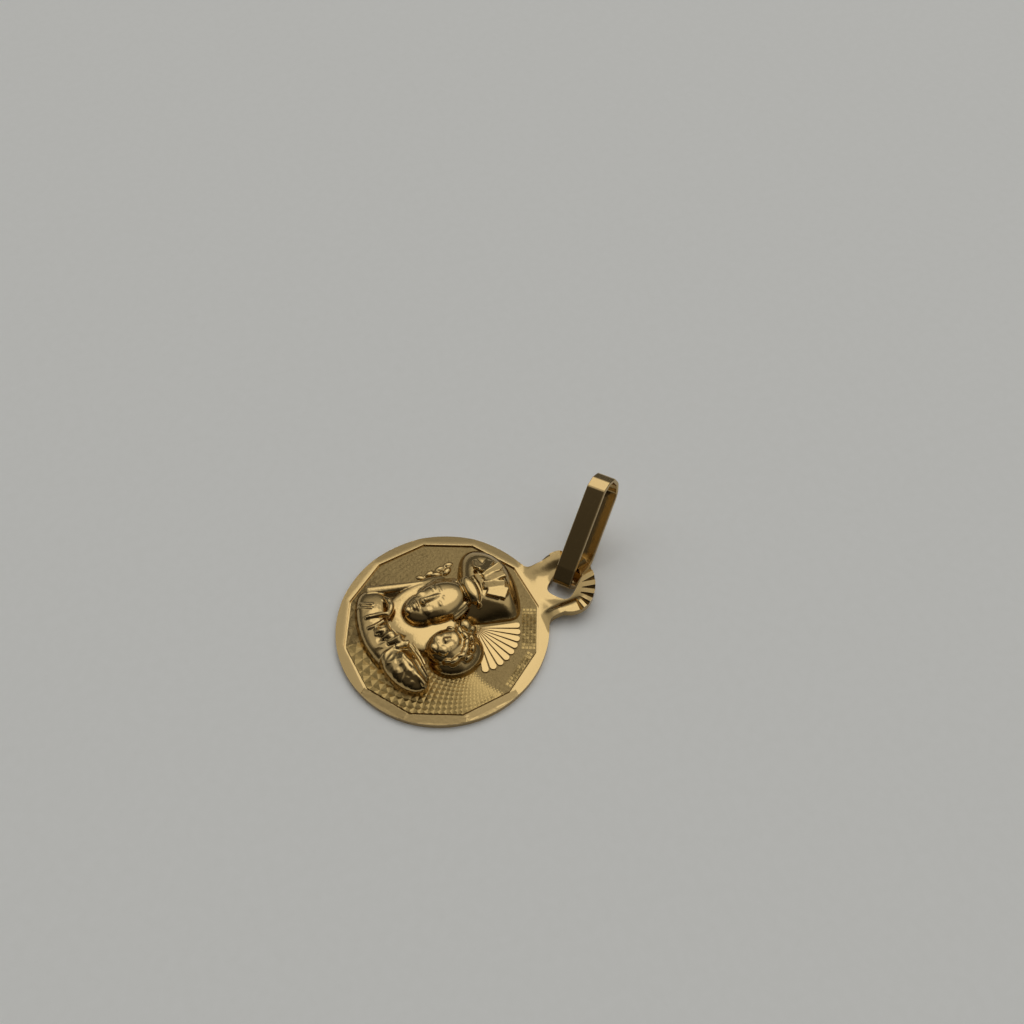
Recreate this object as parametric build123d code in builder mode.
from build123d import *

import os
from collections import namedtuple
from math import atan, cos, degrees, hypot, radians, sin, sqrt, tan

# A small struck gold medal lying on its back, with a folded strip bail hooked through its ear.
# Millimetres. The origin is the centre of the round plate's back face, on the surface it lies on.
# +Z points out of the figure side and +Y from the plate's centre to the ear.

# The round plate and its cut border
disc_r = 6.0  # rim radius
plate_t = 0.45  # thickness of the sheet
border_sides = 12  # straight cuts round the border
border_w = 0.68  # width of a cut at its middle
border_drop = 0.14  # fall of a cut from its inner edge to the rim
border_turn = 23.2  # degrees, a corner of the border seen from +X
field_lip = 0.07  # narrow flat between the cuts and the sunk ground
field_depth = 0.08  # depth of the sunk ground
relief_h = 1.4  # highest point of the figures above the ground
relief_sink = 0.2  # how far the figures' solids reach into the plate

# The ear, stamped from the same sheet and bent up a little so that the bail passes under it
hole_reach = 1.25  # centre of the hole beyond the rim
hole_r = 1.08
ear_reach = 1.42  # centre of the rounded end beyond the rim
ear_half_w = 2.05  # half width of the rounded end
ear_half_l = 1.6  # how far the end reaches beyond its own centre
neck_half_w = 1.8  # half width where the ear leaves the plate
root_round = 0.45  # inside corner between neck and rim
bend_back = 0.25  # the bend starts this far inside the rim
bend_round = 1.2  # inside radius of the bend
flute_count = 8  # notches round the ear's end
flute_depth = 0.13
flute_half_w = 0.16
flute_first = 14.0  # degrees, the first notch seen from +X
flute_last = 157.0  # degrees, the last notch

# The bail, a flat strip folded to a loop and soldered
bail_w = 1.14  # width of the strip
bail_t = 0.22  # thickness of the strip
bail_top = 5.42  # top of the loop above the hinge line
bail_foot = 1.36  # how far the loop hangs below the hinge line
bail_belly = 1.13  # how far the back stands off the hinge line at its widest
bail_front = 1.11  # how far the front stands off the hinge line
swing_gap = 0.03  # running room between the ring of the ear and the loop's inside
floor_gap = 0.02  # the loop clears the surface that the plate lies on
hook_turn = 39.0  # degrees, the bail's place on the ring, from +Y towards -X
bail_rise = 36.0  # degrees, the bail above the plate's plane
edge_cut = 0.04  # fine bevel along the strip's edges

field_z = plate_t - field_depth
hole_y = disc_r + hole_reach
ear_y = disc_r + ear_reach


def ear_radius(turn, set_back=0.0):
    """Distance to the ear's end, turned from +Y, from a point set back from the end's centre."""
    across = sin(radians(turn)) / ear_half_w
    along = cos(radians(turn)) / ear_half_l
    square = across**2 + along**2
    half = along * set_back / ear_half_l
    return (half + sqrt(half**2 + square * (1 - (set_back / ear_half_l) ** 2))) / square


# The ring of the ear as the strip meets it: the hole's wall at the strip's edges, and the end
ring_inner = sqrt(hole_r**2 - (bail_w / 2) ** 2)
ring_outer = ear_radius(hook_turn, ear_y - hole_y)
hook_reach = (ring_inner + ring_outer) / 2
ring_half = (ring_outer - ring_inner) / 2
clear_r = hypot(ring_half, plate_t / 2) + swing_gap  # room round the hinge line inside the loop
loop_r = clear_r + bail_t

# The ear is lifted until the loop passes under the ring, lower edge of the strip and all
bend_y = disc_r - bend_back
hook_x = -hook_reach * sin(radians(hook_turn))
hook_y = hole_y + hook_reach * cos(radians(hook_turn))
lift = 14.0
for attempt in range(20):
    tip = sin(radians(hook_turn)) * sin(radians(lift))  # how steeply the strip lies across
    hook_z = floor_gap + loop_r * sqrt(1 - tip**2) + bail_w / 2 * tip
    lift = degrees(atan((hook_z - plate_t / 2) / (hook_y - bend_y)))
ear_run = 2 * (ear_y + ear_half_l - bend_y)

# The hinge line runs along the ring where the bail hooks on, in the ear's own plane
hinge_at = Vector(hook_x, hook_y, hook_z)
hinge_axis = Vector(
    cos(radians(hook_turn)),
    sin(radians(hook_turn)) * cos(radians(lift)),
    sin(radians(hook_turn)) * sin(radians(lift)),
)
outward = Vector(0, 0, 1).cross(hinge_axis).normalized()
upward_square = hinge_axis.cross(outward)

# Tables of the relief. Places and half widths are shares of disc_r, rises are shares of relief_h
# and walls are the share of the rise that stands straight up. The whole relief, laid out upright,
# is then turned a little on the plate.
figure_turn = 4.7  # degrees, from +Y towards -X
Station = namedtuple("Station", "x y half rise wall", defaults=[0])

crown = [
    Station(-0.21, 0.26, 0.15, 0.60, 0.3),
    Station(-0.21, 0.40, 0.18, 0.74, 0.2),
    Station(-0.21, 0.50, 0.28, 0.86, 0.2),
    Station(-0.20, 0.60, 0.385, 0.90, 0.25),
    Station(-0.19, 0.70, 0.36, 0.74, 0.3),
    Station(-0.18, 0.775, 0.24, 0.42, 0.4),
]
crown_band = [
    Station(-0.222, 0.345, 0.205, 0.90),
    Station(-0.224, 0.425, 0.205, 0.90),
]
veil = [
    Station(-0.40, 0.34, 0.06, 0.50),
    Station(-0.50, 0.10, 0.085, 0.60),
    Station(-0.60, -0.20, 0.085, 0.55),
    Station(-0.68, -0.46, 0.07, 0.40),
]
bust = [
    Station(-0.70, -0.50, 0.07, 0.35),
    Station(-0.47, -0.52, 0.18, 0.62),
    Station(-0.22, -0.60, 0.17, 0.72),
    Station(0.05, -0.54, 0.20, 0.78),
    Station(0.32, -0.45, 0.15, 0.74),
    Station(0.55, -0.43, 0.05, 0.45),
]
neckline = [
    Station(-0.54, -0.40, 0.05, 0.66),
    Station(-0.36, -0.44, 0.06, 0.74),
    Station(-0.16, -0.46, 0.06, 0.80),
    Station(0.04, -0.38, 0.06, 0.86),
]
child_shoulder = [
    Station(0.02, -0.36, 0.09, 0.78),
    Station(0.24, -0.34, 0.11, 0.88),
    Station(0.44, -0.36, 0.08, 0.78),
    Station(0.57, -0.41, 0.04, 0.50),
]

# Fleurons of the crown, leaves that stand on its band and lean outwards
Fleuron = namedtuple("Fleuron", "foot_x tip_x tip_y half rise")
fleurons = [
    Fleuron(-0.29, -0.49, 0.60, 0.060, 0.90),
    Fleuron(-0.25, -0.35, 0.67, 0.065, 0.98),
    Fleuron(-0.21, -0.19, 0.69, 0.070, 1.00),
    Fleuron(-0.17, -0.03, 0.66, 0.065, 0.98),
    Fleuron(-0.13, 0.09, 0.58, 0.060, 0.90),
]
fleuron_foot_y = 0.44

# Folds of the cloak, from the neckline down over the bust
Fold = namedtuple("Fold", "x y end_x end_y half rise")
folds = [
    Fold(-0.55, -0.46, -0.50, -0.63, 0.030, 0.66),
    Fold(-0.42, -0.46, -0.32, -0.70, 0.035, 0.78),
    Fold(-0.28, -0.48, -0.14, -0.72, 0.035, 0.84),
    Fold(-0.10, -0.46, 0.05, -0.69, 0.035, 0.88),
    Fold(0.08, -0.40, 0.24, -0.60, 0.035, 0.90),
    Fold(0.27, -0.38, 0.40, -0.52, 0.030, 0.86),
]
fold_foot_rise = 0.35

# Heads, half width and half length in the plate's plane
Head = namedtuple("Head", "x y half_w half_l rise")
heads = [
    Head(-0.215, -0.02, 0.20, 0.31, 1.0),
    Head(0.24, -0.04, 0.26, 0.27, 0.92),
]

# The smooth dish round the mother's neck
Dish = namedtuple("Dish", "x y half_w half_l rise taper")
dish = Dish(-0.20, -0.06, 0.40, 0.42, 0.32, 35.0)

# The fan of rays, turned in degrees from +X, and its reach from its own centre
ray_count = 8
Ray = namedtuple("Ray", "turn reach")
first_ray = Ray(-9.0, 0.56)
last_ray = Ray(60.0, 0.48)
ray_x, ray_y = -0.02, 0.27
ray_half_turn = 4.4
ray_h = 0.07  # raised this far above the ground


def mound(stations):
    """One raised form, lofted through upright sections with an arc on top."""
    with BuildPart() as form:
        for index, row in enumerate(stations):
            before = stations[max(index - 1, 0)]
            after = stations[min(index + 1, len(stations) - 1)]
            heading = Vector(after.x - before.x, after.y - before.y, 0).normalized()
            half = row.half * disc_r
            rise = row.rise * relief_h
            shoulder = max(rise - half, row.wall * rise)
            upright = Plane(
                origin=(row.x * disc_r, row.y * disc_r, field_z),
                x_dir=(-heading.Y, heading.X, 0),
                z_dir=heading,
            )
            with BuildSketch(upright):
                with BuildLine():
                    Polyline(
                        (-half, shoulder),
                        (-half, -relief_sink),
                        (half, -relief_sink),
                        (half, shoulder),
                    )
                    ThreePointArc((half, shoulder), (0, rise), (-half, shoulder))
                make_face()
        loft()
    return form.part


def egg(head):
    """A head as an egg turned about its own length, cut off inside the plate."""
    half_w = head.half_w * disc_r
    half_l = head.half_l * disc_r
    centre = Vector(head.x * disc_r, head.y * disc_r, field_z + head.rise * relief_h - half_w)
    with BuildPart() as form:
        with BuildSketch(Plane(centre)):
            Ellipse(half_w, half_l)
            Rectangle(2 * half_w, 3 * half_l, align=(Align.MAX, Align.CENTER), mode=Mode.SUBTRACT)
        revolve(axis=Axis(centre, (0, 1, 0)))
        split(bisect_by=Plane.XY.offset(field_z - relief_sink), keep=Keep.TOP)
    return form.part


# The sheet: its outline from above, cut out of a sheet that is bent up under the ear
with BuildPart() as medal:
    with BuildSketch():
        Circle(disc_r)
        with Locations((0, ear_y)):
            Ellipse(ear_half_w, ear_half_l)
        Rectangle(2 * neck_half_w, ear_y, align=(Align.CENTER, Align.MIN))
        root_y = sqrt(disc_r**2 - neck_half_w**2)
        roots = [vertices().sort_by_distance((side * neck_half_w, root_y))[0] for side in (-1, 1)]
        fillet(roots, radius=root_round)
        with Locations((0, hole_y)):
            Circle(hole_r, mode=Mode.SUBTRACT)
        for index in range(flute_count):
            turn = flute_first + (flute_last - flute_first) * index / (flute_count - 1)
            reach = ear_radius(90 - turn)
            foot = Vector(reach * cos(radians(turn)), ear_y + reach * sin(radians(turn)), 0)
            with Locations(Location(foot, (0, 0, turn))):
                Polygon(
                    (-flute_depth, 0),
                    (flute_depth, -2 * flute_half_w),
                    (flute_depth, 2 * flute_half_w),
                    mode=Mode.SUBTRACT,
                )
    extrude(amount=2 * disc_r, both=True)
    with BuildSketch(Plane.YZ):
        with BuildLine():
            slope = Vector(cos(radians(lift)), sin(radians(lift)))
            upward = Vector(-slope.Y, slope.X)
            under_bend = Vector(bend_y, 0)
            over_bend = Vector(bend_y - plate_t * tan(radians(lift / 2)), plate_t)
            under_end = under_bend + slope * ear_run
            over_end = under_end + upward * plate_t
            FilletPolyline((-2 * disc_r, 0), under_bend, under_end, radius=bend_round + plate_t)
            FilletPolyline((-2 * disc_r, plate_t), over_bend, over_end, radius=bend_round)
            Line((-2 * disc_r, 0), (-2 * disc_r, plate_t))
            Line(under_end, over_end)
        make_face()
    extrude(amount=2 * disc_r, both=True, mode=Mode.INTERSECT)

# What the border cuts take away: everything round a flat twelve-sided pyramid, but not the ear
border_in_r = disc_r - border_w
widen = 2.0  # the cuts reach this many border widths outwards
with BuildPart() as border_waste:
    Cylinder(border_in_r + 1.5 * border_w, 2 * plate_t, align=(Align.CENTER, Align.CENTER, Align.MIN))
    with BuildSketch(Plane.XY.offset(plate_t)):
        RegularPolygon(border_in_r, border_sides, major_radius=False, rotation=border_turn)
    with BuildSketch(Plane.XY.offset(plate_t - widen * border_drop)):
        wide_r = border_in_r + widen * border_w
        RegularPolygon(wide_r, border_sides, major_radius=False, rotation=border_turn)
    loft(mode=Mode.SUBTRACT)
    with BuildSketch(Plane.XY.offset(plate_t)):
        RegularPolygon(border_in_r, border_sides, major_radius=False, rotation=border_turn)
    extrude(amount=2 * plate_t, mode=Mode.SUBTRACT)
    split(bisect_by=Plane.XY.offset(plate_t - widen * border_drop), keep=Keep.TOP)
    with BuildSketch():
        Rectangle(2 * (neck_half_w + root_round), 2 * disc_r, align=(Align.CENTER, Align.MIN))
    extrude(amount=4 * plate_t, mode=Mode.SUBTRACT)

with medal:
    add(border_waste.part, mode=Mode.SUBTRACT)
    with BuildSketch(Plane.XY.offset(field_z)):
        RegularPolygon(
            border_in_r - field_lip, border_sides, major_radius=False, rotation=border_turn
        )
    extrude(amount=2 * field_depth, mode=Mode.SUBTRACT)

# The relief, raised from the sunk ground: dish, rays, drapery, heads and crown
with BuildPart() as rays:
    for index in range(ray_count):
        part_way = index / (ray_count - 1)
        turn = first_ray.turn + (last_ray.turn - first_ray.turn) * part_way
        reach = (first_ray.reach + (last_ray.reach - first_ray.reach) * part_way) * disc_r
        half_end = reach * tan(radians(ray_half_turn))
        with BuildSketch(Plane.XY.offset(field_z - relief_sink)):
            with Locations(Location((ray_x * disc_r, ray_y * disc_r, 0), (0, 0, turn))):
                Polygon((0, 0), (reach, -half_end), (reach, half_end))
        extrude(amount=relief_sink + ray_h)

with BuildPart() as neck_dish:
    with BuildSketch(Plane.XY.offset(field_z - relief_sink)):
        with Locations((dish.x * disc_r, dish.y * disc_r)):
            Ellipse(dish.half_w * disc_r, dish.half_l * disc_r)
    extrude(amount=relief_sink + dish.rise * relief_h, taper=dish.taper)

with medal:
    upright = Rot(0, 0, figure_turn)
    add(upright * rays.part)
    add(upright * neck_dish.part)
    for stations in (bust, veil, neckline, child_shoulder, crown, crown_band):
        add(upright * mound(stations))
    for row in folds:
        top_end = Station(row.x, row.y, row.half, row.rise)
        low_end = Station(row.end_x, row.end_y, row.half, fold_foot_rise)
        add(upright * mound([top_end, low_end]))
    for row in fleurons:
        foot = Station(row.foot_x, fleuron_foot_y, row.half, row.rise)
        tip = Station(row.tip_x, row.tip_y, row.half, row.rise)
        add(upright * mound([foot, tip]))
    for row in heads:
        add(upright * egg(row))
medal.part.label = "medal"

# The bail: the loop seen along the hinge line, x up the loop from the hinge and y to its front.
# At rest the back of its foot runs along the surface that the plate lies on.
rise_angle = radians(bail_rise)
floor_back = (loop_r - bail_foot * sin(rise_angle)) / cos(rise_angle)
floor_up = (loop_r - bail_belly * cos(rise_angle)) / sin(rise_angle)
Corner = namedtuple("Corner", "up across round")
loop_corners = [
    Corner(-bail_foot, 0.93 * bail_front, 0.3),
    Corner(-0.24 * bail_foot, bail_front, 0.3),
    Corner(0.835 * bail_top, 0.97 * bail_front, 0.25),
    Corner(0.945 * bail_top, 0.66 * bail_front, 0.25),
    Corner(bail_top, 0.2 * bail_front, 0.3),
    Corner(0.975 * bail_top, -0.5 * bail_belly, 0.5),
    Corner(0.865 * bail_top, -bail_belly, 1.2),
    Corner(-floor_up, -bail_belly, 1.0),
    Corner(-bail_foot, -floor_back, 0.45),
]
up_loop = outward * cos(rise_angle) + upward_square * sin(rise_angle)
loop_plane = Plane(origin=hinge_at, x_dir=up_loop, z_dir=hinge_axis)
with BuildPart() as bail:
    with BuildSketch(loop_plane):
        with BuildLine():
            points = [(corner.up, corner.across) for corner in loop_corners]
            FilletPolyline(*points, radius=[corner.round for corner in loop_corners], close=True)
        make_face()
        offset(amount=-bail_t, mode=Mode.SUBTRACT)
    extrude(amount=bail_w / 2, both=True)
    side_faces = faces().filter_by(Axis(hinge_at, hinge_axis))
    chamfer(side_faces.edges(), length=edge_cut)
bail.part.label = "bail"

os.makedirs("parts", exist_ok=True)
export_step(medal.part, "parts/medal.step")
export_step(bail.part, "parts/bail.step")
print("hinge at", hinge_at, "axis", hinge_axis)
print("ear lifted by", round(lift, 2), "degrees, room round the hinge line", round(clear_r, 3))
print("medal", medal.part.volume, "bail", bail.part.volume)
